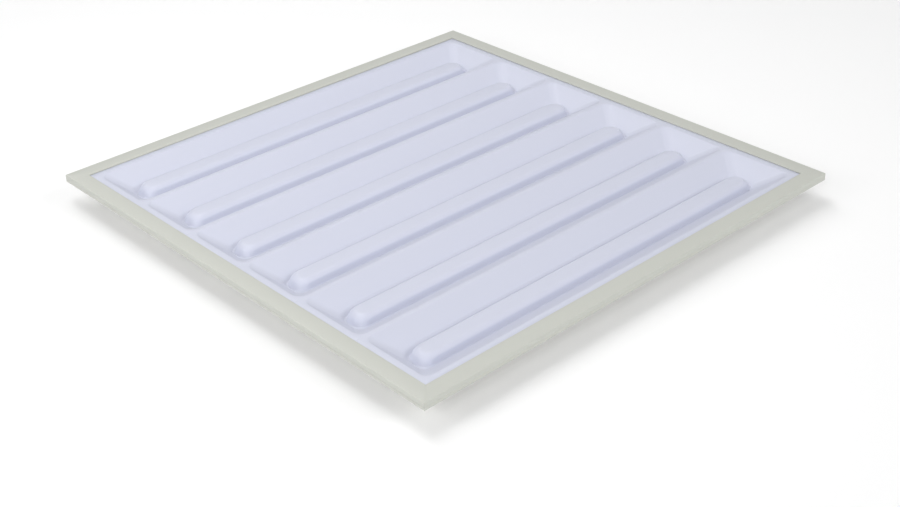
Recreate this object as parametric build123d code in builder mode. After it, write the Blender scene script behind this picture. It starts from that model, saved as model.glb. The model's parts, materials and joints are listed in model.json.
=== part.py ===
from build123d import *
import os
from math import atan2, tan

# Recessed troffer light, lying on its back with the luminous face up.
# X runs across the troughs, Y along them, Z up. The origin is the centre of the flat back.

# ------------------------------------------------------------------ driving dimensions, mm
module_size = 595.0         # outside of the square face frame
overall_height = 36.0       # from the tray's back to the frame's face

# face frame: extruded sides, mitred at the corners
frame_width = 19.0          # flange that shows from the room
frame_height = 8.6
frame_skin = 1.5
frame_edge_radius = 0.5
key_slot = 7.5              # clear width between the two legs
key_thickness = 2.9
key_clearance = 0.15        # beside a corner key, each side
key_arm = 55.0              # reach of a key's arm from the frame's outer corner
lip_reach = 1.8             # lips that hold the keys in the slot
lip_skin = 1.0
block_length = 24.0         # fixing block at the middle of a side
screw_from_corner = 40.0

# thermoformed opal diffuser
sheet = 1.2
rim_gap = 0.5               # between the rim's edge and the frame's inner leg
rim_show = 8.5              # flat rim between frame and troughs
trough_count = 6
crest_width = 6.0
trough_depth = 18.5
wall_run = 28.0             # horizontal run of a trough's long sloping walls
end_wall_run = 22.5         # and of the two at its ends
valley_gap = 1.0            # flat strip at the foot of the rib
mouth_corner = 10.0         # corner radii of a trough at its mouth and foot
foot_corner = 7.0
crest_radius = 3.0
rib_height = 10.5
rib_draft = 1.6
rib_end_draft = 5.5         # the ends lean more than the sides
rib_corner = 11.0           # a rib's ends are almost half round
rib_edge_radius = 6.0

# gasket and pressed steel tray
gasket_height = 2.8
gasket_width = 7.0
steel = 0.8
tray_gap = 0.5              # between the tray's flange and the frame's outer leg
tray_slope_run = 28.0
tray_corner = 12.0
bead_width = 8.0            # stiffening beads pressed into the back
bead_depth = 1.0
bead_length = 340.0

# screws, studs and nuts
screw_radius = 1.5
screw_head_radius = 2.8
screw_head_height = 2.0
screw_length = 4.4
screw_clearance = 0.2
stud_radius = 1.5
stud_rise = 3.4             # of a stud above the piece it holds
nut_across = 5.5
nut_height = 2.4
thread_clearance = 0.05
hang_hole_radius = 2.1      # clinch nuts for hanging or surface fixing
hang_nut_radius = 4.0
hang_nut_height = 4.0
hang_spacing_y = 400.0

# LED boards and reflectors
board_thickness = 1.6
board_width = 16.0
board_length = 470.0
led_per_board = 12
led_end_gap = 26.0          # from a board's end to the middle of its last package
led_size = 3.0
led_height = 0.7
bus_width = 10.0
bus_length = 480.0
bus_gap = 4.0               # between the board ends and the bus board
link_width = 8.0
link_length = 13.0
link_height = 2.6
reflector_skin = 0.4
reflector_gap = 0.5
window_clearance = 1.0      # round what passes through a reflector

# driver, its wires and the cover over them
wire_radius = 0.8
wire_spacing = 6.0
wire_height = 9.0
driver_length = 260.0
driver_width = 30.0
driver_height = 19.0
driver_skin = 1.2
driver_gap = 18.0           # between the driver's case and the plate's recess
driver_ear = 12.0
driver_ear_skin = 1.6
circuit_width = 25.0
circuit_thickness = 1.6
circuit_rise = 3.0
circuit_inset = 5.0         # between the circuit board's end and the case
part_gap = 10.0             # between neighbours on the circuit board
terminal_length = 10.0
core_width = 8.0
core_height = 9.0
coil_width = 7.0
coil_height = 10.0
capacitor_radius = 4.5
capacitor_length = 18.0
choke_radius = 6.5
choke_wire = 2.6
heatsink_length = 45.0
heatsink_height = 9.5
heatsink_skin = 1.5
cover_foot_half = 24.0
cover_top_half = 17.0
cover_height = 21.2
cover_skin = 0.6
cover_flange = 7.0
cover_inset = 1.5           # between the cover's end and the tray's flat
cover_stud_inset = 60.0

# wiring box, terminal block and levers
box_half = 17.0
box_height = 20.2
box_length = 87.0           # up to the gland's wall
gland_wall_inset = 0.5      # of that wall from the edge of the tray's flat
terminal_reach = 24.0       # from the box's end to the terminal block
terminal_depth = 15.0
terminal_width = 24.0
terminal_height = 14.7
pole_pitch = 7.6
cheek_thickness = 1.0
cheek_reach = 4.2
cheek_height = 4.6
lever_gap = 0.3
lever_length = 7.0
lever_thickness = 2.2
lever_hub_radius = 1.8
lever_standoff = 2.2        # of the lever axis from the block's face
lever_drop = 3.2            # of the lever axis below the box's ceiling
shaft_radius = 0.8
shaft_clearance = 0.05
earth_reach = 27.0          # from the gland's wall
earth_radius = 2.0
earth_length = 10.0
earth_nut_across = 7.0
earth_nut_height = 3.2
earth_washer_radius = 4.5
earth_washer_height = 1.0

# cable gland
gland_lift = 0.1            # of the gland's nuts above the tray
gland_across = 19.0
gland_thread_radius = 8.0
gland_nut_thickness = 5.0
gland_hex_height = 4.0
gland_neck_radius = 7.2
gland_neck_length = 8.0
gland_bore_radius = 4.5
gland_cap_length = 14.0
seal_bore_radius = 3.5
seal_radius = 6.2
seal_length = 7.0

# sliding access plate
recess_half = 15.0
recess_depth = 2.0
recess_length = 128.0
recess_gap = 13.0           # between the recess and the gland's wall
opening_half = 12.0
opening_length = 53.0
opening_inset = 5.0         # from the recess's end
plate_length = 62.0
plate_thickness = 0.8
plate_clearance = 0.3
rail_reach = 2.6
rail_thickness = 0.6
grip_count = 3
grip_pitch = 4.0

# ------------------------------------------------------------------ places worked out from them
half = module_size / 2
face_z = overall_height
rim_top = face_z - frame_skin
rim_bottom = rim_top - sheet
tray_top = rim_bottom - gasket_height
slot_middle = frame_skin + key_slot / 2
leg_inner = 2 * frame_skin + key_slot
key_z = tray_top + lip_skin
rim_half = half - leg_inner - rim_gap

trough_length = module_size - 2 * (frame_width + rim_show)
trough_pitch = (trough_length + crest_width) / trough_count
trough_width = trough_pitch - crest_width
foot_size = (trough_width - 2 * wall_run, trough_length - 2 * end_wall_run)
rib_foot = (foot_size[0] - 2 * valley_gap, foot_size[1] - 2 * valley_gap)
rib_crown = (rib_foot[0] - 2 * rib_draft, rib_foot[1] - 2 * rib_end_draft)
# the ends can't be rounder than the crown is wide
rib_end_radius = min(rib_corner, rib_crown[0] / 2 - 0.5)
floor_z = rim_top - trough_depth
crown_z = floor_z + rib_height
trough_centres = [(i - (trough_count - 1) / 2) * trough_pitch for i in range(trough_count)]
crest_centres = [x + trough_pitch / 2 for x in trough_centres[:-1]]

gasket_outer = rim_half
gasket_inner = gasket_outer - gasket_width
pan_mouth = gasket_inner
pan_back = pan_mouth - tray_slope_run
pan_slope = atan2(tray_top - steel, tray_slope_run)
pan_shift = steel * tan(pan_slope / 2)

board_top = steel + board_thickness
board_end = board_length / 2
bus_y = -board_end - bus_gap - bus_width / 2
led_pitch = (board_length - 2 * led_end_gap) / (led_per_board - 1)
led_ys = [(i - (led_per_board - 1) / 2) * led_pitch for i in range(led_per_board)]
stud_reach = led_ys[-1] - led_pitch / 2
board_stud_ys = (-stud_reach, 0, stud_reach)
board_studs = [(x, y) for x in trough_centres for y in board_stud_ys]
hang_points = [(x, y) for x in (crest_centres[0], crest_centres[-1])
               for y in (-hang_spacing_y / 2, hang_spacing_y / 2)]

gland_z = steel + gland_lift + gland_across / 2
gland_wall_y = pan_back - gland_wall_inset
gland_face = gland_wall_y + steel
box_start = gland_wall_y - box_length
terminal_start = box_start + terminal_reach
earth_y = gland_wall_y - earth_reach
recess_end = gland_wall_y - recess_gap
recess_start = recess_end - recess_length
opening_end = recess_end - opening_inset
opening_start = opening_end - opening_length

driver_end = recess_start - driver_gap
driver_start = driver_end - driver_length
driver_middle = (driver_start + driver_end) / 2
ear_studs = [(0, driver_start - driver_ear / 2), (0, driver_end + driver_ear / 2)]
circuit_z = steel + driver_skin + circuit_rise
circuit_top = circuit_z + circuit_thickness
wire_xs = (-wire_spacing / 2, wire_spacing / 2)
cover_start = -pan_back + cover_inset
cover_end = box_start - cover_inset
cover_reach = cover_foot_half + cover_flange
cover_stud_x = cover_foot_half + cover_flange / 2
cover_studs = [(x, y) for x in (-cover_stud_x, cover_stud_x)
               for y in (cover_start + cover_stud_inset, cover_end - cover_stud_inset)]

ceiling_z = box_height
terminal_face = terminal_start + terminal_depth
terminal_z = ceiling_z - terminal_height
lever_axis = (terminal_face + lever_standoff, ceiling_z - lever_drop)
lever_xs = (-pole_pitch, 0, pole_pitch)
cheek_xs = [(i - 1.5) * pole_pitch for i in range(4)]
lever_width = pole_pitch - cheek_thickness - 2 * lever_gap
plate_half = recess_half - plate_clearance - 0.1
plate_z = rail_thickness + plate_clearance
plate_end = recess_end - 0.5
plate_travel = plate_end - plate_length - recess_start - 0.5


def frustum(low_z, low_size, low_radius, high_z, high_size, high_radius):
    """A block with four sloping sides and rounded corners, between two rectangles."""
    with BuildPart() as block:
        with BuildSketch(Plane.XY.offset(low_z)):
            RectangleRounded(*low_size, low_radius)
        with BuildSketch(Plane.XY.offset(high_z)):
            RectangleRounded(*high_size, high_radius)
        loft(ruled=True)
    return block.part


def square(half_size):
    """Both sides of a square given by half its side."""
    return (2 * half_size, 2 * half_size)


def block(x, y, z):
    """A plain block between three pairs of limits."""
    with BuildPart() as solid:
        with BuildSketch(Plane.XY.offset(z[0])):
            with Locations(((x[0] + x[1]) / 2, (y[0] + y[1]) / 2)):
                Rectangle(x[1] - x[0], y[1] - y[0])
        extrude(amount=z[1] - z[0])
    return solid.part


def four_ways(points):
    """The points, repeated on each of the frame's four sides."""
    turned = []
    for x, y in points:
        turned += [(x, y), (-y, x), (-x, -y), (y, -x)]
    return turned


def finish(part, name):
    """Label a finished piece and write its file."""
    part.label = name
    export_step(part, f"parts/{name}.step")


os.makedirs("parts", exist_ok=True)

# ------------------------------------------------------------------ face frame
frame_profile = [
    (0, face_z - frame_height),
    (0, face_z),
    (frame_width, face_z),
    (frame_width, rim_top),
    (leg_inner, rim_top),
    (leg_inner, tray_top),
    (leg_inner - frame_skin - lip_reach, tray_top),
    (leg_inner - frame_skin - lip_reach, key_z),
    (leg_inner - frame_skin, key_z),
    (leg_inner - frame_skin, rim_top),
    (frame_skin, rim_top),
    (frame_skin, key_z),
    (frame_skin + lip_reach, key_z),
    (frame_skin + lip_reach, tray_top),
    (frame_skin, tray_top),
    (frame_skin, face_z - frame_height),
]


def frame_side(turn):
    """One side of the frame: its profile carried along the side and mitred at both ends."""
    along = Vector(1, 0, 0).rotate(Axis.Z, turn)
    inward = Vector(0, 1, 0).rotate(Axis.Z, turn)
    middle = inward * -half
    with BuildPart() as side:
        with BuildSketch(Plane(origin=middle, x_dir=inward, z_dir=along)) as profile:
            with BuildLine():
                Polyline(*frame_profile, close=True)
            make_face()
            fillet(profile.vertices().group_by(Axis.Y)[-1], frame_edge_radius)
        extrude(amount=half, both=True)
        for end in (1, -1):
            mitre = Plane(origin=middle + along * half * end, z_dir=along * end + inward)
            split(bisect_by=mitre, keep=Keep.BOTTOM)
    return side.part


for name, turn in (("near", 0), ("right", 90), ("far", 180), ("left", 270)):
    finish(frame_side(turn), f"frame_side_{name}")

corner_screw = half - screw_from_corner
slot_line = half - slot_middle
corner_points = four_ways([(corner_screw, -slot_line), (-corner_screw, -slot_line)])
middle_points = four_ways([(0, -slot_line)])

key_outer = half - frame_skin - key_clearance
key_inner = half - frame_skin - key_slot + key_clearance
key_end = half - key_arm
key_outline = [
    (-key_outer, -key_outer),
    (-key_end, -key_outer),
    (-key_end, -key_inner),
    (-key_inner, -key_inner),
    (-key_inner, -key_end),
    (-key_outer, -key_end),
]

with BuildPart() as corner_keys:
    with BuildSketch(Plane.XY.offset(key_z)):
        with PolarLocations(0, 4):
            Polygon(*key_outline, align=None)
        with Locations(*corner_points):
            Circle(screw_radius + thread_clearance, mode=Mode.SUBTRACT)
    extrude(amount=key_thickness)
finish(corner_keys.part, "corner_keys")

with BuildPart() as fixing_blocks:
    with BuildSketch(Plane.XY.offset(key_z)):
        with PolarLocations(0, 4):
            with Locations((0, -slot_line)):
                Rectangle(block_length, key_slot - 2 * key_clearance)
        with Locations(*middle_points):
            Circle(screw_radius + thread_clearance, mode=Mode.SUBTRACT)
    extrude(amount=key_thickness)
finish(fixing_blocks.part, "fixing_blocks")

with BuildPart() as tray_screws:
    with BuildSketch(Plane.XY.offset(tray_top - steel)):
        with Locations(*corner_points, *middle_points):
            Circle(screw_head_radius)
    extrude(amount=-screw_head_height)
    with BuildSketch(Plane.XY.offset(tray_top - steel)):
        with Locations(*corner_points, *middle_points):
            Circle(screw_radius)
    extrude(amount=screw_length)
finish(tray_screws.part, "tray_screws")

# ------------------------------------------------------------------ diffuser
tub = frustum(floor_z - sheet, foot_size, foot_corner,
              rim_bottom, (trough_width, trough_length), mouth_corner)
cavity = frustum(floor_z, foot_size, foot_corner,
                 rim_top, (trough_width, trough_length), mouth_corner)


def rib_block(low_z, high_z, inset, edge_radius):
    """The raised rib, or the hollow under it, with drafted sides and a rounded crown."""
    foot = (rib_foot[0] - 2 * inset, rib_foot[1] - 2 * inset)
    crown = (rib_crown[0] - 2 * inset, rib_crown[1] - 2 * inset)
    with BuildPart() as rib:
        add(frustum(low_z, foot, rib_end_radius - inset,
                    high_z, crown, rib_end_radius - inset))
        fillet(rib.faces().sort_by(Axis.Z)[-1].edges(), edge_radius)
    return rib.part


rib = rib_block(floor_z, crown_z, 0, rib_edge_radius)
rib_hollow = rib_block(floor_z - sheet, crown_z - sheet, sheet, rib_edge_radius - sheet)
trough_places = [(x, 0) for x in trough_centres]

with BuildPart() as diffuser:
    with BuildSketch(Plane.XY.offset(rim_bottom)):
        Rectangle(*square(rim_half))
    extrude(amount=sheet)
    with Locations(*trough_places):
        add(tub)
    with Locations(*trough_places):
        add(cavity, mode=Mode.SUBTRACT)
    crest_edges = [
        edge for edge in diffuser.edges().group_by(Axis.Z)[-1]
        if abs(edge.center().X) < rim_half - 1 and abs(edge.center().Y) < rim_half - 1
    ]
    fillet(crest_edges, crest_radius)
    with Locations(*trough_places):
        add(rib)
    with Locations(*trough_places):
        add(rib_hollow, mode=Mode.SUBTRACT)
finish(diffuser.part, "diffuser")

with BuildPart() as rim_gasket:
    with BuildSketch(Plane.XY.offset(tray_top)):
        Rectangle(*square(gasket_outer))
        Rectangle(*square(gasket_inner), mode=Mode.SUBTRACT)
    extrude(amount=gasket_height)
finish(rim_gasket.part, "rim_gasket")

# ------------------------------------------------------------------ back tray
flange_half = half - frame_skin - tray_gap
pan_outside = frustum(0, square(pan_back + pan_shift), tray_corner,
                      tray_top - steel, square(pan_mouth + pan_shift), tray_corner)
pan_inside = frustum(steel, square(pan_back), tray_corner,
                     tray_top, square(pan_mouth), tray_corner)
recess_top = recess_depth + steel
box_inner = box_half - steel
# the bead lines lie under the crests, clear of the middle one
bead_places = [(x, 0) for x in crest_centres if abs(x) > trough_pitch / 2]

with BuildPart() as back_tray:
    with BuildSketch(Plane.XY.offset(tray_top - steel)):
        RectangleRounded(*square(flange_half), frame_skin)
    extrude(amount=steel)
    add(pan_outside)
    add(pan_inside, mode=Mode.SUBTRACT)
    add(block((-recess_half - steel, recess_half + steel),
              (recess_start - steel, recess_end + steel), (0, recess_top)))
    add(block((-recess_half, recess_half), (recess_start, recess_end), (0, recess_depth)),
        mode=Mode.SUBTRACT)
    add(block((-opening_half, opening_half), (opening_start, opening_end), (0, recess_top)),
        mode=Mode.SUBTRACT)
    add(block((-box_inner, box_inner), (gland_face, half - frame_width), (0, box_height)),
        mode=Mode.SUBTRACT)
    with BuildSketch():
        with Locations(*bead_places):
            SlotOverall(bead_length, bead_width, rotation=90)
    extrude(amount=steel + bead_depth)
    with BuildSketch():
        with Locations(*bead_places):
            SlotOverall(bead_length - 2 * steel, bead_width - 2 * steel, rotation=90)
    extrude(amount=bead_depth, mode=Mode.SUBTRACT)
    with BuildSketch():
        with Locations(*hang_points):
            Circle(hang_hole_radius)
    extrude(amount=steel, mode=Mode.SUBTRACT)
    with BuildSketch(Plane.XY.offset(tray_top - steel)):
        with Locations(*corner_points, *middle_points):
            Circle(screw_radius + screw_clearance)
    extrude(amount=steel, mode=Mode.SUBTRACT)
finish(back_tray.part, "back_tray")

with BuildPart() as clinch_nuts:
    with BuildSketch(Plane.XY.offset(steel)):
        with Locations(*hang_points):
            Circle(hang_nut_radius)
            Circle(hang_hole_radius, mode=Mode.SUBTRACT)
    extrude(amount=hang_nut_height)
finish(clinch_nuts.part, "clinch_nuts")

# ------------------------------------------------------------------ LED boards
for number, x in enumerate(trough_centres, start=1):
    with BuildPart() as led_board:
        with BuildSketch(Plane.XY.offset(steel)):
            with Locations((x, 0)):
                Rectangle(board_width, board_length)
            with Locations(*[(x, y) for y in board_stud_ys]):
                Circle(stud_radius + screw_clearance, mode=Mode.SUBTRACT)
        extrude(amount=board_thickness)
    finish(led_board.part, f"led_board_{number}")

led_points = [(x, y) for x in trough_centres for y in led_ys]
with BuildPart() as led_packages:
    with BuildSketch(Plane.XY.offset(board_top)):
        with Locations(*led_points):
            Rectangle(led_size, led_size)
    extrude(amount=led_height)
finish(led_packages.part, "led_packages")

with BuildPart() as bus_board:
    with BuildSketch(Plane.XY.offset(steel)):
        with Locations((0, bus_y)):
            Rectangle(bus_length, bus_width)
    extrude(amount=board_thickness)
finish(bus_board.part, "bus_board")

link_y = -board_end - bus_gap / 2
link_points = [(x, link_y) for x in trough_centres]
with BuildPart() as board_links:
    with BuildSketch(Plane.XY.offset(board_top)):
        with Locations(*link_points):
            RectangleRounded(link_width, link_length, 1)
    extrude(amount=link_height)
finish(board_links.part, "board_links")

bus_connector_top = wire_height + 2 * wire_radius
with BuildPart() as bus_connector:
    with BuildSketch(Plane.XY.offset(board_top)):
        with Locations((0, bus_y)):
            RectangleRounded(2 * wire_spacing, bus_width - 1, 1)
    extrude(amount=bus_connector_top - board_top)
finish(bus_connector.part, "bus_connector")

# ------------------------------------------------------------------ reflectors
# white sheet on top of the boards, folded up along the tray's slopes
reflector_low = pan_back + (board_top - steel) / tan(pan_slope) - reflector_gap
reflector_high_z = tray_top - 1
reflector_high = reflector_low + (reflector_high_z - board_top) / tan(pan_slope)
reflector_shift = reflector_skin * tan(pan_slope / 2)
reflector_rise = reflector_high_z + reflector_skin
reflector_outside = frustum(board_top, square(reflector_low), tray_corner,
                            reflector_high_z, square(reflector_high), tray_corner)
reflector_inside = frustum(
    board_top + reflector_skin, square(reflector_low - reflector_shift), tray_corner,
    reflector_rise, square(reflector_high - reflector_shift), tray_corner)
reflector_edge = cover_reach + reflector_gap


def reflector(side):
    """One half of the reflector, with windows for LED packages, nuts and links."""
    far = reflector_high + 1
    strip = (reflector_edge, far) if side > 0 else (-far, -reflector_edge)
    with BuildPart() as sheet_metal:
        add(reflector_outside)
        add(reflector_inside, mode=Mode.SUBTRACT)
        add(block(strip, (-far, far), (0, reflector_rise)), mode=Mode.INTERSECT)
        with BuildSketch(Plane.XY.offset(board_top)):
            with Locations(*led_points):
                Rectangle(led_size + 2 * window_clearance, led_size + 2 * window_clearance)
            with Locations(*board_studs):
                Circle(nut_across / 2 + 2 * window_clearance)
            with Locations(*hang_points):
                Circle(hang_nut_radius + window_clearance)
            with Locations(*link_points):
                Rectangle(link_width + 2 * window_clearance, link_length + 2 * window_clearance)
        extrude(amount=reflector_skin, mode=Mode.SUBTRACT)
    return sheet_metal.part


finish(reflector(-1), "reflector_left")
finish(reflector(1), "reflector_right")

# ------------------------------------------------------------------ studs and nuts on the tray
ear_top = steel + driver_ear_skin
cover_seat = steel + cover_skin
held = [(board_studs, board_top), (ear_studs, ear_top), (cover_studs, cover_seat)]

with BuildPart() as weld_studs:
    for points, seat in held:
        with BuildSketch(Plane.XY.offset(steel)):
            with Locations(*points):
                Circle(stud_radius)
        extrude(amount=seat - steel + stud_rise)
finish(weld_studs.part, "weld_studs")

with BuildPart() as stud_nuts:
    for points, seat in held:
        with BuildSketch(Plane.XY.offset(seat)):
            with Locations(*points):
                RegularPolygon(nut_across / 2, 6, major_radius=False)
                Circle(stud_radius + thread_clearance, mode=Mode.SUBTRACT)
        extrude(amount=nut_height)
finish(stud_nuts.part, "stud_nuts")

# ------------------------------------------------------------------ driver
driver_half = driver_width / 2
lid_z = steel + driver_height - driver_skin
boss_ys = (driver_start + 20, driver_middle, driver_end - 20)

with BuildPart() as driver_case:
    add(block((-driver_half, driver_half), (driver_start, driver_end), (steel, lid_z)))
    add(block((-driver_half + driver_skin, driver_half - driver_skin),
              (driver_start + driver_skin, driver_end - driver_skin),
              (steel + driver_skin, lid_z)), mode=Mode.SUBTRACT)
    with BuildSketch(Plane.XY.offset(steel + driver_skin)):
        with Locations(*[(x, y) for x in (-8, 8) for y in boss_ys]):
            Circle(2.5)
    extrude(amount=circuit_rise)
    with BuildSketch(Plane.XY.offset(steel)):
        with Locations(*ear_studs):
            Rectangle(2 * driver_ear, driver_ear)
            Circle(stud_radius + screw_clearance, mode=Mode.SUBTRACT)
    extrude(amount=driver_ear_skin)
    with BuildSketch(Plane.XZ.offset(-driver_end - 1)):
        with Locations(*[(x, wire_height) for x in wire_xs]):
            Circle(wire_radius + 0.1)
    extrude(amount=driver_length + 2, mode=Mode.SUBTRACT)
finish(driver_case.part, "driver_case")

lip = 1.5
inside_half = driver_half - driver_skin - 0.15
with BuildPart() as driver_lid:
    add(block((-driver_half, driver_half), (driver_start, driver_end),
              (lid_z, lid_z + driver_skin)))
    add(block((-inside_half, inside_half),
              (driver_start + driver_skin + 0.15, driver_end - driver_skin - 0.15),
              (lid_z - lip, lid_z)))
    add(block((-inside_half + driver_skin, inside_half - driver_skin),
              (driver_start + 2 * driver_skin, driver_end - 2 * driver_skin),
              (lid_z - lip, lid_z)), mode=Mode.SUBTRACT)
    fillet(driver_lid.faces().sort_by(Axis.Z)[-1].edges(), 0.6)
finish(driver_lid.part, "driver_lid")

circuit_start = driver_start + circuit_inset
circuit_end = driver_end - circuit_inset
finish(block((-circuit_width / 2, circuit_width / 2), (circuit_start, circuit_end),
             (circuit_z, circuit_top)), "driver_board")

terminal_rise = wire_height + 2 * wire_radius
with BuildPart() as driver_terminals:
    add(block((-wire_spacing, wire_spacing), (circuit_start, circuit_start + terminal_length),
              (circuit_top, terminal_rise)))
    add(block((-wire_spacing, wire_spacing), (circuit_end - terminal_length, circuit_end),
              (circuit_top, terminal_rise)))
finish(driver_terminals.part, "driver_terminals")

core_half = core_width / 2
coil_end = core_half + coil_width
with BuildPart() as driver_transformer:
    add(block((-9, 9), (driver_middle - core_half, driver_middle + core_half),
              (circuit_top, circuit_top + core_height)))
    for side in (-1, 1):
        coil = sorted((driver_middle + side * core_half, driver_middle + side * coil_end))
        add(block((-11, 11), coil, (circuit_top, circuit_top + coil_height)))
finish(driver_transformer.part, "driver_transformer")

with BuildPart() as driver_capacitors:
    first = driver_middle + coil_end + part_gap
    for start in (first, first + capacitor_length + part_gap):
        with BuildSketch(Plane.XZ.offset(-start)):
            with Locations((0, circuit_top + capacitor_radius)):
                Circle(capacitor_radius)
        extrude(amount=-capacitor_length)
finish(driver_capacitors.part, "driver_capacitors")

choke_y = circuit_end - terminal_length - part_gap - choke_radius - choke_wire
with BuildPart() as driver_choke:
    with BuildSketch(Plane.XZ):
        with Locations((choke_radius, circuit_top + choke_wire)):
            Circle(choke_wire)
    revolve(axis=Axis.Z)
choke = driver_choke.part.moved(Location((0, choke_y, 0)))
finish(choke, "driver_choke")

heatsink_end = driver_middle - coil_end - part_gap
finish(block((-circuit_width / 2, -circuit_width / 2 + heatsink_skin),
             (heatsink_end - heatsink_length, heatsink_end),
             (circuit_top, circuit_top + heatsink_height)), "driver_heatsink")

# ------------------------------------------------------------------ gear cover and inner wires
cover_z = steel + cover_height
cover_outline = [
    (-cover_foot_half, steel),
    (-cover_top_half, cover_z),
    (cover_top_half, cover_z),
    (cover_foot_half, steel),
]
cover_hollow = [
    (-cover_foot_half + cover_skin, steel),
    (-cover_top_half + cover_skin, cover_z - cover_skin),
    (cover_top_half - cover_skin, cover_z - cover_skin),
    (cover_foot_half - cover_skin, steel),
]

with BuildPart() as gear_cover:
    with BuildSketch(Plane.XZ.offset(-cover_end)):
        Polygon(*cover_outline, align=None)
    extrude(amount=cover_end - cover_start)
    with BuildSketch(Plane.XY.offset(steel)):
        with Locations((0, (cover_start + cover_end) / 2)):
            Rectangle(2 * cover_reach, cover_end - cover_start)
    extrude(amount=cover_skin)
    with BuildSketch(Plane.XZ.offset(-cover_end + cover_skin)):
        Polygon(*cover_hollow, align=None)
    extrude(amount=cover_end - cover_start - 2 * cover_skin, mode=Mode.SUBTRACT)
    with BuildSketch(Plane.XY.offset(steel)):
        with Locations((0, bus_y)):
            Rectangle(2 * cover_reach, bus_width + 2 * window_clearance)
    extrude(amount=board_thickness + window_clearance, mode=Mode.SUBTRACT)
    with BuildSketch(Plane.XY.offset(steel)):
        with Locations(*cover_studs):
            Circle(stud_radius + screw_clearance)
        with Locations((0, (recess_start + cover_end) / 2)):
            Rectangle(2 * (recess_half + steel + window_clearance), cover_end - recess_start + 4)
    extrude(amount=recess_top + window_clearance - steel, mode=Mode.SUBTRACT)
    with BuildSketch(Plane.XZ.offset(-cover_end)):
        with Locations((0, wire_height)):
            Rectangle(2 * wire_spacing, 4 * wire_radius)
    extrude(amount=cover_skin, mode=Mode.SUBTRACT)
finish(gear_cover.part, "gear_cover")


def wires(start, end):
    """Two straight insulated wires side by side along Y."""
    with BuildPart() as pair:
        with BuildSketch(Plane.XZ.offset(-start)):
            with Locations(*[(x, wire_height) for x in wire_xs]):
                Circle(wire_radius)
        extrude(amount=start - end)
    return pair.part


led_wire_end = bus_y + (bus_width - 1) / 2
finish(wires(led_wire_end, circuit_start), "led_wires")
finish(wires(circuit_end, terminal_start), "mains_wires")

# ------------------------------------------------------------------ wiring box
bushing_half = wire_spacing / 2 + wire_radius + 1.2
with BuildPart() as wiring_box:
    add(block((-box_half, box_half), (box_start, half - frame_width), (steel, box_height + steel)))
    add(block((-box_inner, box_inner), (box_start + steel, half - frame_width),
              (steel, box_height)), mode=Mode.SUBTRACT)
    add(block((-box_inner, box_inner), (gland_wall_y, gland_face), (steel, box_height)))
    add(pan_inside, mode=Mode.INTERSECT)
    add(block((-recess_half - steel - 0.2, recess_half + steel + 0.2),
              (recess_start, recess_end + steel + 0.2), (0, recess_top)), mode=Mode.SUBTRACT)
    with BuildSketch(Plane.XZ.offset(-gland_face - 1)):
        with Locations((0, gland_z)):
            Circle(gland_thread_radius + 0.1)
    extrude(amount=steel + 2, mode=Mode.SUBTRACT)
    with BuildSketch(Plane.XZ.offset(-box_start - steel - 1)):
        with Locations((0, wire_height)):
            SlotOverall(2 * bushing_half, 2 * (wire_radius + 1.2))
    extrude(amount=steel + 2, mode=Mode.SUBTRACT)
finish(wiring_box.part, "wiring_box")

with BuildPart() as wire_bushing:
    with BuildSketch(Plane.XZ.offset(-box_start - steel)):
        with Locations((0, wire_height)):
            SlotOverall(2 * bushing_half - 0.1, 2 * (wire_radius + 1.2) - 0.1)
    extrude(amount=steel)
    with BuildSketch(Plane.XZ.offset(-box_start - steel - 1.2)):
        with Locations((0, wire_height)):
            SlotOverall(2 * bushing_half + 3, 2 * (wire_radius + 1.2) + 3)
    extrude(amount=1.2)
    with BuildSketch(Plane.XZ.offset(-box_start - 3)):
        with Locations(*[(x, wire_height) for x in wire_xs]):
            Circle(wire_radius + 0.05)
    extrude(amount=4, mode=Mode.SUBTRACT)
finish(wire_bushing.part, "wire_bushing")

# ------------------------------------------------------------------ terminal block and levers
axis_y, axis_z = lever_axis
with BuildPart() as terminal_block:
    add(block((-terminal_width / 2, terminal_width / 2), (terminal_start, terminal_face),
              (terminal_z, ceiling_z)))
    for x in cheek_xs:
        add(block((x - cheek_thickness / 2, x + cheek_thickness / 2),
                  (terminal_face, terminal_face + cheek_reach),
                  (ceiling_z - lever_drop - cheek_height / 2, ceiling_z - 0.6)))
    with BuildSketch(Plane.YZ.offset(-terminal_width)):
        with Locations((axis_y, axis_z)):
            Circle(shaft_radius + 0.02)
    extrude(amount=2 * terminal_width, mode=Mode.SUBTRACT)
    with BuildSketch(Plane.XZ.offset(-terminal_face)):
        with Locations(*[(x, terminal_z + 2.2) for x in lever_xs]):
            Circle(1.4)
    extrude(amount=terminal_depth - 4, mode=Mode.SUBTRACT)
finish(terminal_block.part, "terminal_block")

with BuildPart() as lever_shaft:
    with BuildSketch(Plane.YZ.offset(-terminal_width / 2)):
        with Locations((axis_y, axis_z)):
            Circle(shaft_radius)
    extrude(amount=terminal_width)
finish(lever_shaft.part, "lever_shaft")

for number, x in enumerate(lever_xs, start=1):
    with BuildPart() as terminal_lever:
        with BuildSketch(Plane.YZ.offset(x - lever_width / 2)):
            with Locations((axis_y, axis_z)):
                Circle(lever_hub_radius)
            with Locations((axis_y, axis_z - lever_length / 2)):
                Rectangle(lever_thickness, lever_length)
            with Locations((axis_y + 0.5, axis_z - lever_length + 0.8)):
                Rectangle(lever_thickness + 1, 1.6)
            with Locations((axis_y, axis_z)):
                Circle(shaft_radius + shaft_clearance, mode=Mode.SUBTRACT)
        extrude(amount=lever_width)
    finish(terminal_lever.part, f"terminal_lever_{number}")

earth_plane = Plane(origin=(0, earth_y, ceiling_z), x_dir=(1, 0, 0), z_dir=(0, 0, -1))
with BuildPart() as earth_stud:
    with BuildSketch(earth_plane):
        Circle(earth_radius)
    extrude(amount=earth_length)
finish(earth_stud.part, "earth_stud")

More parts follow.
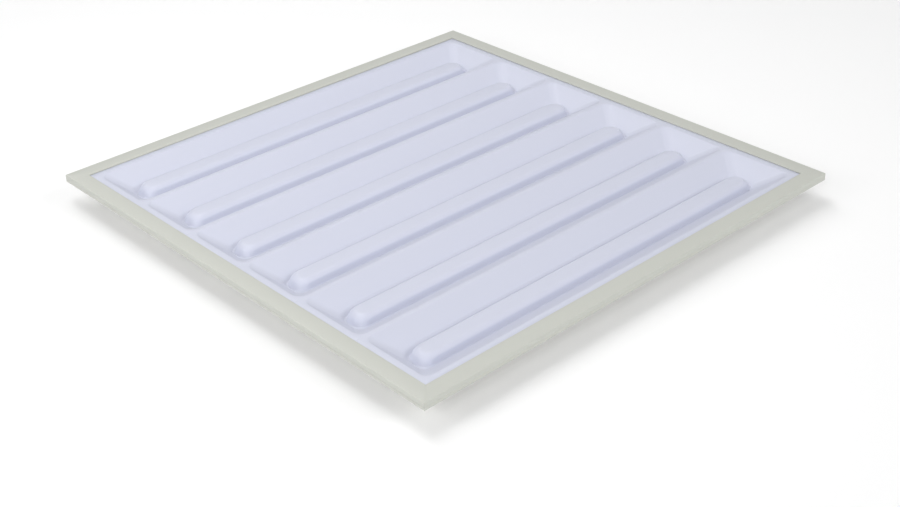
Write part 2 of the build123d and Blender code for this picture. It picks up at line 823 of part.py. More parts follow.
with BuildPart() as earth_washer:
    with BuildSketch(earth_plane):
        Circle(earth_washer_radius)
        Circle(earth_radius + 0.1, mode=Mode.SUBTRACT)
    extrude(amount=earth_washer_height)
finish(earth_washer.part, "earth_washer")

with BuildPart() as earth_nut:
    with BuildSketch(earth_plane.offset(earth_washer_height)):
        RegularPolygon(earth_nut_across / 2, 6, major_radius=False)
        Circle(earth_radius + thread_clearance, mode=Mode.SUBTRACT)
    extrude(amount=earth_nut_height)
finish(earth_nut.part, "earth_nut")


# ------------------------------------------------------------------ cable gland
def gland_plane(y):
    """A plane across the gland's axis, facing out of the box."""
    return Plane(origin=(0, y, gland_z), x_dir=(1, 0, 0), z_dir=(0, 1, 0))


neck_end = gland_face + gland_hex_height + gland_neck_length
with BuildPart() as gland_body:
    with BuildSketch(gland_plane(gland_wall_y - gland_nut_thickness)):
        Circle(gland_thread_radius)
    extrude(amount=gland_nut_thickness + steel)
    with BuildSketch(gland_plane(gland_face)):
        RegularPolygon(gland_across / 2, 6, major_radius=False)
    extrude(amount=gland_hex_height)
    with BuildSketch(gland_plane(gland_face + gland_hex_height)):
        Circle(gland_neck_radius)
    extrude(amount=gland_neck_length)
    with BuildSketch(gland_plane(gland_wall_y - gland_nut_thickness)):
        Circle(gland_bore_radius)
    extrude(amount=neck_end - gland_wall_y + gland_nut_thickness, mode=Mode.SUBTRACT)
    with BuildSketch(gland_plane(neck_end - seal_length)):
        Circle(seal_radius + 0.1)
    extrude(amount=seal_length, mode=Mode.SUBTRACT)
finish(gland_body.part, "gland_body")

with BuildPart() as gland_locknut:
    with BuildSketch(gland_plane(gland_wall_y - gland_nut_thickness)):
        RegularPolygon(gland_across / 2, 6, major_radius=False)
        Circle(gland_thread_radius + thread_clearance, mode=Mode.SUBTRACT)
    extrude(amount=gland_nut_thickness)
finish(gland_locknut.part, "gland_locknut")

with BuildPart() as gland_seal:
    with BuildSketch(gland_plane(neck_end - seal_length)):
        Circle(seal_radius)
        Circle(seal_bore_radius, mode=Mode.SUBTRACT)
    extrude(amount=seal_length)
finish(gland_seal.part, "gland_seal")

cap_start = gland_face + gland_hex_height + 0.5
cap_end = cap_start + gland_cap_length
with BuildPart() as gland_cap:
    with BuildSketch(gland_plane(cap_start)):
        RegularPolygon(gland_across / 2, 6, major_radius=False)
    extrude(amount=gland_cap_length - 4)
    with BuildSketch(gland_plane(cap_end - 4)):
        Circle(gland_across / 2)
    with BuildSketch(gland_plane(cap_end)):
        Circle(gland_bore_radius + 2)
    loft()
    with BuildSketch(gland_plane(cap_start)):
        Circle(gland_neck_radius + 0.1)
    extrude(amount=neck_end - cap_start + 0.3, mode=Mode.SUBTRACT)
    with BuildSketch(gland_plane(cap_start)):
        Circle(gland_bore_radius)
    extrude(amount=gland_cap_length, mode=Mode.SUBTRACT)
finish(gland_cap.part, "gland_cap")

# ------------------------------------------------------------------ sliding access plate
rail_inner = recess_half - rail_reach
with BuildPart() as guide_rails:
    add(block((-recess_half, -rail_inner), (recess_start, recess_end), (0, rail_thickness)))
    add(block((rail_inner, recess_half), (recess_start, recess_end), (0, rail_thickness)))
finish(guide_rails.part, "guide_rails")

grip_y = plate_end - plate_length / 2
grip_ys = [grip_y + (i - (grip_count - 1) / 2) * grip_pitch for i in range(grip_count)]
with BuildPart() as access_plate:
    add(block((-plate_half, plate_half), (plate_end - plate_length, plate_end),
              (plate_z, plate_z + plate_thickness)))
    with BuildSketch(Plane.XY.offset(plate_z)):
        with Locations(*[(0, y) for y in grip_ys]):
            RectangleRounded(1.2 * opening_half, grip_pitch / 3, 0.5)
    extrude(amount=-rail_thickness)
finish(access_plate.part, "access_plate")

print("access plate travel", plate_travel)
print("lever axis y, z", lever_axis)
print("trough pitch", trough_pitch, "centres", trough_centres)
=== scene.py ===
# %% [markdown]
# A recessed troffer light, lying on its back on a white surface.
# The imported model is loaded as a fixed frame: every solid is already in its place, in metres,
# with X across the troughs, Y along them and Z out of the luminous face.
# This script gives each solid its finish, and makes again, as fine surfaces, the pieces whose
# soft bends and edges the eye reads first.

# %% Load the frame
import json

import bmesh
import bpy
import numpy as np
from mathutils import Matrix, Vector

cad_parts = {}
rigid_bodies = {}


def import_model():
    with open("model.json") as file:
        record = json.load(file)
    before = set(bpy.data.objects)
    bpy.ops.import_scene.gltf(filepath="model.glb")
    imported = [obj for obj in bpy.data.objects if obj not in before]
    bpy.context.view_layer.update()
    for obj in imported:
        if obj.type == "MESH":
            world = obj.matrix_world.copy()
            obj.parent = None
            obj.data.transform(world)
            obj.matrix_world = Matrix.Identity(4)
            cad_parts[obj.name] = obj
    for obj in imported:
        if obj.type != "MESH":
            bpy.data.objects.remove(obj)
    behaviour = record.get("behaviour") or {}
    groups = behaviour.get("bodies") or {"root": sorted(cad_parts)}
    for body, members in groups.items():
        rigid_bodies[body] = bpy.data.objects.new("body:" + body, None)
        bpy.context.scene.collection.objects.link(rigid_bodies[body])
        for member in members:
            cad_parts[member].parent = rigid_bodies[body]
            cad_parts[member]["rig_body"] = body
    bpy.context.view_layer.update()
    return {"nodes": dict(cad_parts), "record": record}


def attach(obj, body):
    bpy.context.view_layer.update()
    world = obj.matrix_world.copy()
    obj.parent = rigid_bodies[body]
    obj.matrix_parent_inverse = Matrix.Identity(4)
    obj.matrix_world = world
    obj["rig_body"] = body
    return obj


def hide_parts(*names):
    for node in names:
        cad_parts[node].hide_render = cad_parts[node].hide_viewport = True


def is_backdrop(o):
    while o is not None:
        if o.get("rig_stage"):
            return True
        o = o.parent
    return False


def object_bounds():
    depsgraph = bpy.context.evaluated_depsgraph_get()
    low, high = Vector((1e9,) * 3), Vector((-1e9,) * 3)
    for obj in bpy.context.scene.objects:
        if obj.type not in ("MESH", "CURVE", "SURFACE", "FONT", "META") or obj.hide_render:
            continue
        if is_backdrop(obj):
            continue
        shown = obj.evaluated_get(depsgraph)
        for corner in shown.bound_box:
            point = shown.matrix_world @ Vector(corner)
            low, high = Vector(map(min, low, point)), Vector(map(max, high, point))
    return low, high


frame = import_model()
MM = 0.001
TINY = 1e-9
print("solids loaded:", len(frame["nodes"]))

# %% [markdown]
# The camera stands at the corner of the square, well above it, with a slightly long lens. It
# could be placed by eye, but its place was worked out from the four corners of the face, which
# is a square of known side, so that every edge falls where it should. A small roll is left in,
# because the corners ask for it.

# %% Camera
EYE = Vector((1.03476, -0.94104, 0.76730))
AIM = Vector((0.12996, -0.10980, 0.03466))
ROLL = np.radians(-1.255)
LENS, SENSOR = 57.0, 36.0
NEAREST, FARTHEST = 0.05, 50


def turned_camera(eye, aim, roll):
    """The matrix of a camera that looks from eye to aim and leans by roll about that line."""
    forward = (aim - eye).normalized()
    side = forward.cross(Vector((0, 0, 1))).normalized()
    up = side.cross(forward)
    leaning_side = side * np.cos(roll) + up * np.sin(roll)
    leaning_up = up * np.cos(roll) - side * np.sin(roll)
    turn = Matrix((leaning_side, leaning_up, -forward)).transposed()
    return Matrix.Translation(eye) @ turn.to_4x4()


scene = bpy.context.scene
lens = bpy.data.cameras.new("camera")
lens.lens = LENS
lens.sensor_width = SENSOR
lens.clip_start, lens.clip_end = NEAREST, FARTHEST
camera = bpy.data.objects.new("camera", lens)
camera.matrix_world = turned_camera(EYE, AIM, ROLL)
scene.collection.objects.link(camera)
scene.camera = camera
print("camera distance, m:", round((AIM - EYE).length, 3))

# %% [markdown]
# The floor is a plain white sheet at the height on which the part rests. It could be a curved
# backdrop, but the camera looks down on it and a flat one is enough. It has no gloss, so that
# it takes a soft shadow and no reflection.

# %% Floor
FLOOR_HALF = 9.0
FLOOR_WHITE = (0.96, 0.96, 0.96, 1)
FLOOR_ROUGHNESS = 0.9


def plain_floor():
    """A square of four corners, half its side each way from the middle."""
    mesh = bpy.data.meshes.new("floor")
    h = FLOOR_HALF
    mesh.from_pydata([(-h, -h, 0), (h, -h, 0), (h, h, 0), (-h, h, 0)], [], [(0, 1, 2, 3)])
    white = bpy.data.materials.new("floor_white")
    white.use_nodes = True
    shader = white.node_tree.nodes["Principled BSDF"]
    shader.inputs["Base Color"].default_value = FLOOR_WHITE
    shader.inputs["Roughness"].default_value = FLOOR_ROUGHNESS
    shader.inputs["Specular IOR Level"].default_value = 0.0
    mesh.materials.append(white)
    floor = bpy.data.objects.new("floor", mesh)
    scene.collection.objects.link(floor)
    floor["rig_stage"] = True


plain_floor()
print("floor side, m:", 2 * FLOOR_HALF)

# %% [markdown]
# The light is that of a white studio. One big lamp above would flatten the ribs, so round soft
# lamps stand about the part, each given by how far off it is, its height angle and the side it
# stands on. The two far ones on the right and in front give walls and ribs their shape, the one
# on the left opens their shade, and the three close ones make the face fade a little from near
# to far. A pale world fills in the rest, and the plain transform keeps the whites white.

# %% Light
# distance m, height angle, side angle, size m, power W
LAMPS = {
    "right_lamp": (9.0, 30, 28, 3.6, 228),
    "front_lamp": (9.0, 32, 300, 3.6, 188),
    "left_lamp": (3.5, 50, 180, 1.6, 17),
    "front_left_lamp": (1.6, 30, 270, 0.6, 3.6),
    "top_front_lamp": (1.6, 75, 270, 0.6, 3.6),
    "top_left_lamp": (1.6, 75, 180, 0.6, 3.2),
}
LAMP_AIM = np.array((0, 0, 0.03))
WORLD_STRENGTH = 0.44


def soft_lamp(name, distance, height, side, size, power):
    """A round area lamp that faces the middle of the part: its place is a point on a sphere,
    given by two angles as on a globe."""
    height, side = np.radians((height, side))
    place = distance * np.array((np.cos(side) * np.cos(height), np.sin(side) * np.cos(height),
                                 np.sin(height)))
    light = bpy.data.lights.new(name, "AREA")
    light.shape = "DISK"
    light.size = size
    light.energy = power
    lamp = bpy.data.objects.new(name, light)
    lamp.location = place + LAMP_AIM
    lamp.rotation_euler = Vector(-place).to_track_quat("-Z", "Y").to_euler()
    scene.collection.objects.link(lamp)


world = bpy.data.worlds.new("studio")
world.use_nodes = True
sky = world.node_tree.nodes["Background"]
sky.inputs["Color"].default_value = (1, 1, 1, 1)
sky.inputs["Strength"].default_value = WORLD_STRENGTH
scene.world = world
for name, values in LAMPS.items():
    soft_lamp(name, *values)
scene.view_settings.view_transform = "Standard"
scene.cycles.use_denoising = True
print("lamps:", len(LAMPS))

# %% [markdown]
# A real finish is never quite even, and it could be painted as a picture. Noise worked out at
# each point of the piece needs no picture and has no seams, so every finish is a small network
# of nodes around one Principled shader. Most need the same three things: a colour that drifts
# a little, a roughness, and a fine bump. A helper builds these, and each finish then adds what
# is its own.

# %% Finish helper
BUMP_DEPTH = 0.3 * MM
materials = {}


def joined(tree, source, target, kind, **values):
    """A new node of some kind that takes its vector from a source, with its inputs set."""
    node = tree.nodes.new(kind)
    for key, value in values.items():
        node.inputs[key].default_value = value
    tree.links.new(source, node.inputs[target])
    return node


def finish_of(name, colour, roughness, metallic=0.0, drift=0.03, drift_scale=12.0,
              grain=900.0, grain_height=0.05, stretch=(1, 1, 1)):
    """A finish whose colour is mixed between two near shades by a slow noise, with a fine bump
    from a second noise. Both noises read the piece's own coordinates, stretched if asked."""
    material = bpy.data.materials.new(name)
    material.use_nodes = True
    tree = material.node_tree
    shader = tree.nodes["Principled BSDF"]
    shader.inputs["Roughness"].default_value = roughness
    shader.inputs["Metallic"].default_value = metallic
    place = tree.nodes.new("ShaderNodeTexCoord")
    mapping = joined(tree, place.outputs["Object"], "Vector", "ShaderNodeMapping", Scale=stretch)
    slow = joined(tree, mapping.outputs["Vector"], "Vector", "ShaderNodeTexNoise",
                  Scale=drift_scale, Detail=3.0)
    shades = tree.nodes.new("ShaderNodeMix")
    shades.data_type = "RGBA"
    shades.inputs["A"].default_value = (*[c * (1 - drift) for c in colour], 1)
    shades.inputs["B"].default_value = (*[min(1, c * (1 + drift)) for c in colour], 1)
    tree.links.new(slow.outputs["Fac"], shades.inputs["Factor"])
    tree.links.new(shades.outputs["Result"], shader.inputs["Base Color"])
    fine = joined(tree, mapping.outputs["Vector"], "Vector", "ShaderNodeTexNoise",
                  Scale=grain, Detail=2.0)
    bump = joined(tree, fine.outputs["Fac"], "Height", "ShaderNodeBump",
                  Strength=grain_height, Distance=BUMP_DEPTH)
    tree.links.new(bump.outputs["Normal"], shader.inputs["Normal"])
    materials[name] = material
    return material


print("depth of a full bump, mm:", round(BUMP_DEPTH / MM, 2))

# %% [markdown]
# The diffuser is a thermoformed opal sheet with a satin face: cool white, almost even, with
# a soft gloss. Light that enters the sheet and comes out again could be worked out too, but
# the lamp is off, and its surface alone gives nearly the same look in less time. The frame is
# powder coated, a warmer and darker white with the fine, rounded unevenness of such a coat.

# %% Finishes of the face
finish_of("opal_sheet", (0.594, 0.612, 0.713), 0.46, drift=0.008, drift_scale=5,
          grain=2500, grain_height=0.03)
finish_of("frame_paint", (0.54, 0.55, 0.505), 0.42, drift=0.012, drift_scale=8,
          grain=1400, grain_height=0.10)
print("nodes of a plain finish:", len(materials["opal_sheet"].node_tree.nodes))

# %% [markdown]
# The back and the inside hold sheet steel, zinc, boards, moulded plastic and rubber. They take
# the same helper with other values. Brushed and rolled metal stretches the noise along one
# way, so that it turns into fine lines.

# %% Finishes of the back and the inside
finish_of("tray_paint", (0.70, 0.70, 0.67), 0.45, drift=0.02, grain=1200, grain_height=0.10)
finish_of("reflector_white", (0.84, 0.84, 0.83), 0.7, drift=0.01, grain=1500)
finish_of("gear_cover_paint", (0.82, 0.82, 0.81), 0.6, drift=0.015, grain=1200)
finish_of("driver_shell", (0.50, 0.51, 0.53), 0.4, metallic=0.3, grain=1200, grain_height=0.08)
finish_of("zinc_steel", (0.62, 0.64, 0.66), 0.32, metallic=1.0, drift=0.06, drift_scale=300,
          stretch=(1, 1, 6))
finish_of("heat_sink", (0.66, 0.67, 0.68), 0.35, metallic=1.0, drift=0.05, stretch=(1, 0.05, 1))
finish_of("brass", (0.70, 0.48, 0.20), 0.28, metallic=1.0, drift=0.06, drift_scale=200,
          stretch=(1, 1, 8))
finish_of("board_white", (0.78, 0.79, 0.78), 0.35, drift=0.01)
finish_of("connector_white", (0.72, 0.70, 0.64), 0.45, grain=2500, grain_height=0.08)
finish_of("terminal_grey", (0.48, 0.49, 0.48), 0.45, grain=2500, grain_height=0.10)
finish_of("lever_blue", (0.05, 0.12, 0.28), 0.35, grain=2500, grain_height=0.08)
finish_of("gland_grey", (0.32, 0.33, 0.33), 0.42, grain=2500, grain_height=0.10)
finish_of("rail_plastic", (0.56, 0.56, 0.54), 0.4, grain=2500)
finish_of("seal_rubber", (0.016, 0.016, 0.016), 0.7, drift=0.15, grain=1800, grain_height=0.15)
finish_of("bushing_rubber", (0.012, 0.012, 0.012), 0.7, drift=0.15, grain=1800,
          grain_height=0.15)
print("plain finishes:", len(materials))


# %% [markdown]
# Some finishes show a pattern of their own, and a cell texture or bands give it: zinc crystals
# on galvanised steel, the cells of foam, tracks on a circuit board, the turns of a winding.

# %% Finishes with a pattern
def patterned(name, colour, second, roughness, texture, metallic=0.0, low=0.4, high=0.6,
              stretch=(1, 1, 1), height=0.2, **values):
    """A finish that changes from one colour to a second where a pattern passes from low to
    high, with the same pattern as its bump."""
    material = finish_of(name, colour, roughness, metallic=metallic, drift=0.02)
    tree = material.node_tree
    mix = tree.nodes["Mix"]
    place = joined(tree, tree.nodes["Texture Coordinate"].outputs["Object"], "Vector",
                   "ShaderNodeMapping", Scale=stretch)
    pattern = joined(tree, place.outputs["Vector"], "Vector", texture, **values)
    edge = joined(tree, pattern.outputs[0], "Value", "ShaderNodeMapRange",
                  **{"From Min": low, "From Max": high})
    mix.inputs["A"].default_value = (*colour, 1)
    mix.inputs["B"].default_value = (*second, 1)
    tree.links.new(edge.outputs["Result"], mix.inputs["Factor"])
    bump = tree.nodes["Bump"]
    bump.inputs["Strength"].default_value = height
    tree.links.new(edge.outputs["Result"], bump.inputs["Height"])


CELLS, BANDS, SLOPE = "ShaderNodeTexVoronoi", "ShaderNodeTexWave", "ShaderNodeTexGradient"
patterned("box_steel", (0.44, 0.46, 0.47), (0.60, 0.62, 0.63), 0.34, CELLS, metallic=1.0,
          low=0.1, high=0.7, height=0.05, Scale=140.0)
patterned("gasket_foam", (0.030, 0.030, 0.032), (0.060, 0.060, 0.064), 0.9, CELLS, low=0.1,
          high=0.6, height=0.4, Scale=900.0)
patterned("circuit_green", (0.008, 0.075, 0.026), (0.020, 0.150, 0.055), 0.35, CELLS,
          low=0.2, high=0.3, height=0.1, stretch=(1, 0.3, 1), Scale=180.0)
patterned("winding_tape", (0.58, 0.37, 0.04), (0.70, 0.48, 0.08), 0.4, BANDS, low=0.4,
          high=0.6, height=0.1, Scale=120.0)
patterned("choke_copper", (0.30, 0.08, 0.02), (0.62, 0.22, 0.06), 0.3, BANDS, metallic=0.9,
          low=0.2, high=0.8, height=0.5, Scale=260.0)
patterned("capacitor_sleeve", (0.010, 0.014, 0.030), (0.020, 0.026, 0.055), 0.3, BANDS,
          low=0.4, high=0.6, height=0.05, Scale=40.0)
patterned("led_phosphor", (0.78, 0.56, 0.06), (0.86, 0.68, 0.12), 0.2, CELLS, low=0.1,
          high=0.5, height=0.1, Scale=1200.0)
# the two cores lie on either side of the middle, so a slope across it gives each its colour
patterned("wire_insulation", (0.26, 0.02, 0.012), (0.012, 0.022, 0.10), 0.35, SLOPE,
          low=-0.0001, high=0.0001, height=0.02)
print("all finishes:", len(materials))

# %% [markdown]
# Every solid takes the finish that the record names for it, so that a piece can't be forgotten
# or get another's. The pieces made again below take the same ones.

# %% Give each solid its finish
slot_of = {part["node"]: part["material_slot"] for part in frame["record"]["subparts"]}
for node, solid in frame["nodes"].items():
    solid.data.materials.clear()
    solid.data.materials.append(materials[slot_of[node]])
print("solids with a finish:", len(slot_of))


# %% [markdown]
# A new piece is a mesh worked out with numpy. Modelling tools could make it too, but a formula
# says in one place why each point is where it is. The piece takes the finish and the body of the
# solid that it stands for, and that solid is hidden. Smooth shade up to an angle keeps true
# edges crisp.

# %% Piece helper
def new_piece(name, points, faces, node, crisp=35):
    """A mesh object that stands for a solid: its points in metres, its faces as index rows."""
    mesh = bpy.data.meshes.new(name)
    mesh.from_pydata(np.asarray(points, float).tolist(), [], [list(face) for face in faces])
    mesh.validate()
    mesh.materials.append(materials[slot_of[node]])
    mesh.shade_smooth()
    mesh.set_sharp_from_angle(angle=np.radians(crisp))
    piece = bpy.data.objects.new(name, mesh)
    scene.collection.objects.link(piece)
    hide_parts(node)
    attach(piece, frame["nodes"][node]["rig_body"])
    return piece


def face_outwards(piece, merge=0):
    """Points nearer than merge become one, and then every face is turned to look outwards."""
    mesh = bmesh.new()
    mesh.from_mesh(piece.data)
    if merge:
        bmesh.ops.remove_doubles(mesh, verts=mesh.verts, dist=merge)
    bmesh.ops.recalc_face_normals(mesh, faces=mesh.faces)
    mesh.to_mesh(piece.data)
    mesh.free()


print("solids to stand for:", len(slot_of))


# %% [markdown]
# Most surfaces here are grids: rows of points, one row after another. Blender wants each face
# as a list of the points at its corners, so the numbers of these are worked out for the whole
# grid in one go.

# %% Faces of a grid
def grid_faces(rows, columns, closed_rows=False, closed_columns=False):
    """The four-sided faces of a grid of points, row after row, closed on itself if asked."""
    r = np.arange(rows if closed_rows else rows - 1)[:, None]
    c = np.arange(columns if closed_columns else columns - 1)[None, :]
    r2, c2 = (r + 1) % rows, (c + 1) % columns
    corners = (r * columns + c, r * columns + c2, r2 * columns + c2, r2 * columns + c)
    return np.stack(np.broadcast_arrays(*corners), -1).reshape(-1, 4)


print("faces of three rows of four points:", len(grid_faces(3, 4)))


# %% [markdown]
# Pressed and moulded pieces have no sharp corners. A Bevel modifier could round the finished
# mesh, but a profile that is already round gives every bend its own radius. So a profile is
# drawn with plain corner points, and this helper rounds each one with an arc that touches both
# of its sides.

# %% Rounded profile
def rounded_profile(points, radii, steps=6, closed=False):
    """Each corner becomes an arc of its radius: the arc's centre lies on the corner's bisector,
    and its ends where the circle touches the two sides. A radius of 0 keeps the corner."""
    points = np.asarray(points, float)
    out = []
    for i, (corner, radius) in enumerate(zip(points, radii)):
        ends = not closed and i in (0, len(points) - 1)
        if radius == 0 or ends:
            out.append(corner[None])
            continue
        back = points[i - 1] - corner
        ahead = points[(i + 1) % len(points)] - corner
        back, ahead = back / np.linalg.norm(back), ahead / np.linalg.norm(ahead)
        half_angle = np.arccos(np.clip(back @ ahead, -1, 1)) / 2
        middle = (back + ahead) / np.linalg.norm(back + ahead)
        centre = corner + middle * radius / np.sin(half_angle)
        first = corner + back * radius / np.tan(half_angle) - centre
        last = corner + ahead * radius / np.tan(half_angle) - centre
        share = np.linspace(0, 1, steps + 1)[:, None]
        sweep = np.pi - 2 * half_angle
        arc = (np.sin((1 - share) * sweep) * first + np.sin(share * sweep) * last)
        out.append(centre + arc / np.sin(sweep))
    return np.concatenate(out)


rounded_bend = rounded_profile([(1, 0), (0, 0), (0, 1)], [0, 0.5, 0])
print("points on a bend with its two ends:", len(rounded_bend))

# %% [markdown]
# The diffuser is one sheet with six troughs. A flat sheet pushed down by a pattern would give
# ragged walls, because its grid runs straight across the bends. Seen from above, each trough is
# a set of rounded rectangles, one inside the other, like contour lines. So it is made as a
# grid: one parameter runs round a rectangle, the other follows the section from the crest down
# the sloping wall, over the valley and up the rib to its crown.

# %% Diffuser sizes, mm
TROUGHS = 6
RIM_HALF = 286.5
RIM_TOP = 34.5
SHEET = 1.2
FLOOR = 16.0
CROWN = 26.5
MOUTH = (42.5, 270.0)
WALL_RUN = 28.0
END_WALL_RUN = 22.5
VALLEY = 1.0
RIB_DRAFT = 1.6
RIB_END_DRAFT = 5.5
PITCH = 91.0
# a flat border round each mouth, and the radius at which it turns a corner
BORDER, BORDER_ROUND = 3.0, 10.0
# the radii of the bends at the mouth, in the valley and on the rib's shoulder
MOUTH_BEND, VALLEY_BEND, SHOULDER_BEND = 5.0, 1.2, 6.0
# the crown rises by a hair to a thin slot along its middle, which is closed last
CROWN_RISE, SLOT_HALF = 0.15, 0.5
# a trough's corner is round at the mouth and tighter at the foot, a rib's ends almost half round
CORNER_INSET = (0, WALL_RUN - 1, WALL_RUN + VALLEY, WALL_RUN + VALLEY + RIB_DRAFT)
CORNER_RADIUS = (10, 7, 11, 11)

# how far in from the mouth, and how high
section = rounded_profile(
    [(-BORDER, RIM_TOP), (0, RIM_TOP), (WALL_RUN, FLOOR), (WALL_RUN + VALLEY, FLOOR),
     (WALL_RUN + VALLEY + RIB_DRAFT, CROWN), (MOUTH[0] - SLOT_HALF, CROWN + CROWN_RISE)],
    [0, MOUTH_BEND, VALLEY_BEND, VALLEY_BEND, SHOULDER_BEND, 0], steps=8)
print("points on the section:", len(section))


# %% [markdown]
# The contour lines need the same number of points at every size, so that row joins to row. A
# corner's points are spread by angle, and those of the long sides by share of their length.

# %% Rounded rectangles
def ring(half_x, half_y, radius, corner_steps=10, long_steps=14):
    """Points round a rectangle with rounded corners, for whole arrays of sizes: each corner is
    a quarter circle, and extra points lie along the two long sides."""
    half_x, half_y, radius = (np.asarray(v, float)[..., None] for v in (half_x, half_y, radius))
    quarter = np.linspace(0, np.pi / 2, corner_steps + 1)
    share = np.linspace(-1, 1, long_steps + 2)[1:-1]
    xs, ys = [], []
    for number, (sx, sy) in enumerate(((1, 1), (-1, 1), (-1, -1), (1, -1))):
        angle = quarter + number * np.pi / 2
        xs.append(sx * (half_x - radius) + radius * np.cos(angle))
        ys.append(sy * (half_y - radius) + radius * np.sin(angle))
        if number % 2:
            way = -1 if number == 1 else 1
            run = half_y - radius
            xs.append(np.broadcast_to(way * half_x, run.shape[:-1] + share.shape))
            ys.append(way * share * run)
    return np.stack((np.concatenate(xs, -1), np.concatenate(ys, -1)), -1)


print("points round a rectangle:", len(ring(*MOUTH, CORNER_RADIUS[0])))


# %% [markdown]
# Row by row the rectangle shrinks as the section says, and its height is the section's. The
# outermost row is opened out to straight borders, where neighbouring troughs meet.

# %% One trough
def trough_points(centre):
    """Nested rectangles follow the section inwards: half the width and half the length are
    those of the mouth less the inset, and the height is the section's."""
    inset = section[:, 0]
    radius = np.interp(inset, CORNER_INSET, CORNER_RADIUS)
    radius = np.minimum(radius, MOUTH[0] - inset)
    # the end walls are steeper than the long ones, and the rib's ends lean more than its sides
    steeper = (END_WALL_RUN - WALL_RUN) * np.clip(inset / WALL_RUN, 0, 1)
    on_rib = np.where(inset > WALL_RUN + VALLEY / 2, section[:, 1] - FLOOR, 0)
    lean = (RIB_END_DRAFT - RIB_DRAFT) * on_rib / (CROWN - FLOOR)
    flat = ring(MOUTH[0] - inset, MOUTH[1] - inset - steeper - lean, radius)
    nested = np.concatenate((flat, np.broadcast_to(section[:, 1, None, None],
                                                   flat.shape[:2] + (1,))), -1)
    nested[..., 0] += centre
    return nested


def border_points(centre, low_x, high_x):
    """The straight border of a trough's share, one point for each point of its rings: a
    corner's quarter circle is opened out to the two sides of a square corner."""
    half = np.array(MOUTH) + BORDER
    mouth = ring(*half, BORDER_ROUND)
    reach_x = np.where(mouth[:, 0] > 0, high_x - centre, centre - low_x)
    core_x, core_y = half - BORDER_ROUND
    away = np.maximum(np.abs(mouth) - (core_x, core_y), 0) / BORDER_ROUND
    away /= np.maximum(away.max(-1, keepdims=True), TINY)
    sign = np.sign(mouth)
    x = np.where(away[:, 0] > 0, core_x + away[:, 0] * (reach_x - core_x), np.abs(mouth[:, 0]))
    y = np.where(away[:, 1] > 0, core_y + away[:, 1] * (RIM_HALF - core_y), np.abs(mouth[:, 1]))
    return np.stack((centre + sign[:, 0] * x, sign[:, 1] * y,
                     np.full(len(mouth), RIM_TOP)), -1)


def crown_faces(count):
    """The innermost ring is a thin slot: its two long sides are joined point to point."""
    left = np.arange(count // 2)
    right = count - 1 - left
    return np.stack((left[:-1], left[1:], right[1:], right[:-1]), -1)


print("height of a trough's rows, mm:", np.ptp(trough_points(0)[..., 2]).round(2))


# %% [markdown]
# The six troughs stand side by side, and the first and the last one reach to the edge of the
# sheet. They share their border points, which are merged. The surface is the face that shows,
# and a Solidify modifier gives it the sheet's thickness downwards.

# %% Diffuser
def diffuser_surface():
    """All six troughs side by side, each closed at its crown by a row of faces."""
    points, faces, start = [], [], 0
    for number in range(TROUGHS):
        centre = (number - (TROUGHS - 1) / 2) * PITCH
        low_x = -RIM_HALF if number == 0 else centre - PITCH / 2
        high_x = RIM_HALF if number == TROUGHS - 1 else centre + PITCH / 2
        rows = np.concatenate((border_points(centre, low_x, high_x)[None],
                               trough_points(centre)))
        points.append(rows.reshape(-1, 3))
        faces.append(grid_faces(*rows.shape[:2], closed_columns=True) + start)
        last = start + (len(rows) - 1) * rows.shape[1]
        faces.append(crown_faces(rows.shape[1]) + last)
        start += rows.shape[0] * rows.shape[1]
    return np.concatenate(points) * MM, np.concatenate(faces)


diffuser = new_piece("diffuser_sheet", *diffuser_surface(), "diffuser", crisp=60)
face_outwards(diffuser, merge=0.01 * MM)
thickness = diffuser.modifiers.new("sheet", "SOLIDIFY")
thickness.thickness = SHEET * MM
thickness.offset = -1
print("diffuser faces:", len(diffuser.data.polygons))

# %% [markdown]
# The frame is made of four lengths of one extruded profile, cut at 45 degrees. The profile is
# a flange with two legs, and small lips hold the corner keys in the slot between them. A fine
# groove runs round the outer leg. A bevelled curve could carry it round the square in one, but
# real sides are cut apart, so each gets its own mesh.

# %% Frame section
HALF = 297.5
SEAM = 0.12
FACE = 36.0
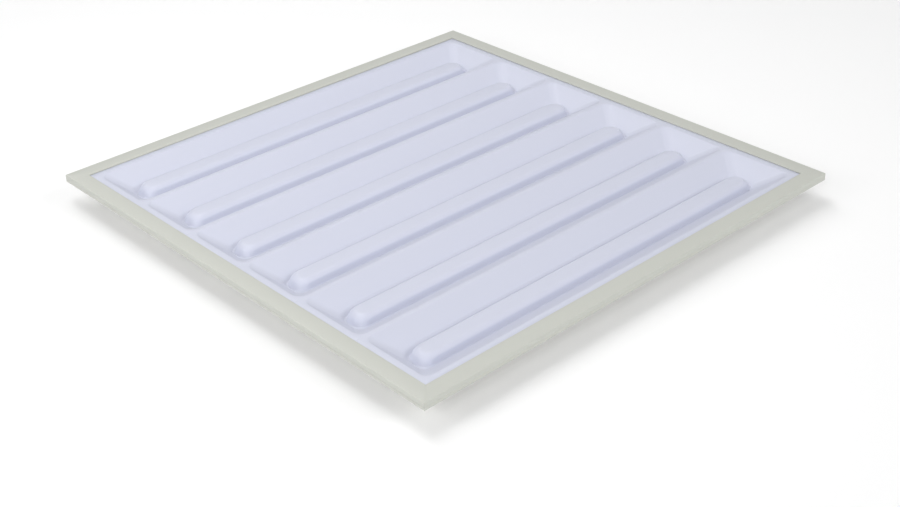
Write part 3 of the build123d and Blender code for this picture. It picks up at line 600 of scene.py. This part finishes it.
# distance in from the outer face, height, and radius: up the outer leg, over the flange, down
# the inner leg and back through the slot
FRAME_CORNERS = np.array((
    (0, 27.4, 0.3), (0, 30.2, 0.1), (0.3, 30.5, 0.1), (0.3, 30.8, 0.1), (0, 31.1, 0.1),
    (0, FACE, 0.8), (19, FACE, 0.5), (19, 34.5, 0.3), (10.5, 34.5, 0), (10.5, 30.5, 0.3),
    (7.2, 30.5, 0.3), (7.2, 31.5, 0), (9, 31.5, 0), (9, 34.5, 0), (1.5, 34.5, 0),
    (1.5, 31.5, 0), (3.3, 31.5, 0), (3.3, 30.5, 0.3), (1.5, 30.5, 0), (1.5, 27.4, 0.3)))
frame_section = rounded_profile(FRAME_CORNERS[:, :2], FRAME_CORNERS[:, 2], steps=4, closed=True)
print("points on the frame section:", len(frame_section))


# %% [markdown]
# Each side is the profile carried along its length. Both ends are drawn in by a hair, so that
# two neighbours meet in the fine groove that a mitre shows.

# %% Frame sides
def drawn_in(profile, amount):
    """The profile moved inwards by a small amount: each point goes along the mean of the
    normals of the two sides that meet there."""
    ahead = np.roll(profile, -1, 0) - profile
    ahead /= np.maximum(np.linalg.norm(ahead, axis=1, keepdims=True), TINY)
    normal = np.stack((ahead[:, 1], -ahead[:, 0]), -1)
    normal = normal + np.roll(normal, 1, 0)
    normal /= np.maximum(np.linalg.norm(normal, axis=1, keepdims=True), TINY)
    return profile + normal * amount


def frame_side(name, turn):
    """The profile at both ends and a hair before them, as four rows along one side. The mitre
    makes each row's place along the side depend on how far in the point lies."""
    small = drawn_in(frame_section, SEAM)
    rows = []
    for end, (profile, back) in ((-1, (small, 0)), (-1, (frame_section, SEAM)),
                                 (1, (frame_section, SEAM)), (1, (small, 0))):
        along = end * (HALF - profile[:, 0] - back)
        rows.append(np.stack((along, profile[:, 0] - HALF, profile[:, 1]), -1))
    rows = np.array(rows)
    cos, sin = np.cos(turn), np.sin(turn)
    x, y = rows[..., 0] * cos - rows[..., 1] * sin, rows[..., 0] * sin + rows[..., 1] * cos
    points = np.stack((x, y, rows[..., 2]), -1).reshape(-1, 3) * MM
    count = len(frame_section)
    faces = grid_faces(4, count, closed_columns=True).tolist()
    faces += [list(range(count))[::-1], list(range(3 * count, 4 * count))]
    return new_piece(f"{name}_profile", points, faces, name)


for name, turn in (("near", 0), ("right", 90), ("far", 180), ("left", 270)):
    side = frame_side(f"frame_side_{name}", np.radians(turn))
    face_outwards(side)
print("faces of a frame side:", len(side.data.polygons))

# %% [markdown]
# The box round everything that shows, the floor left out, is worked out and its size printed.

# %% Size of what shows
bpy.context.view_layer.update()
low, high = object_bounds()
print("size of what shows, mm:", [round(side / MM, 1) for side in high - low])
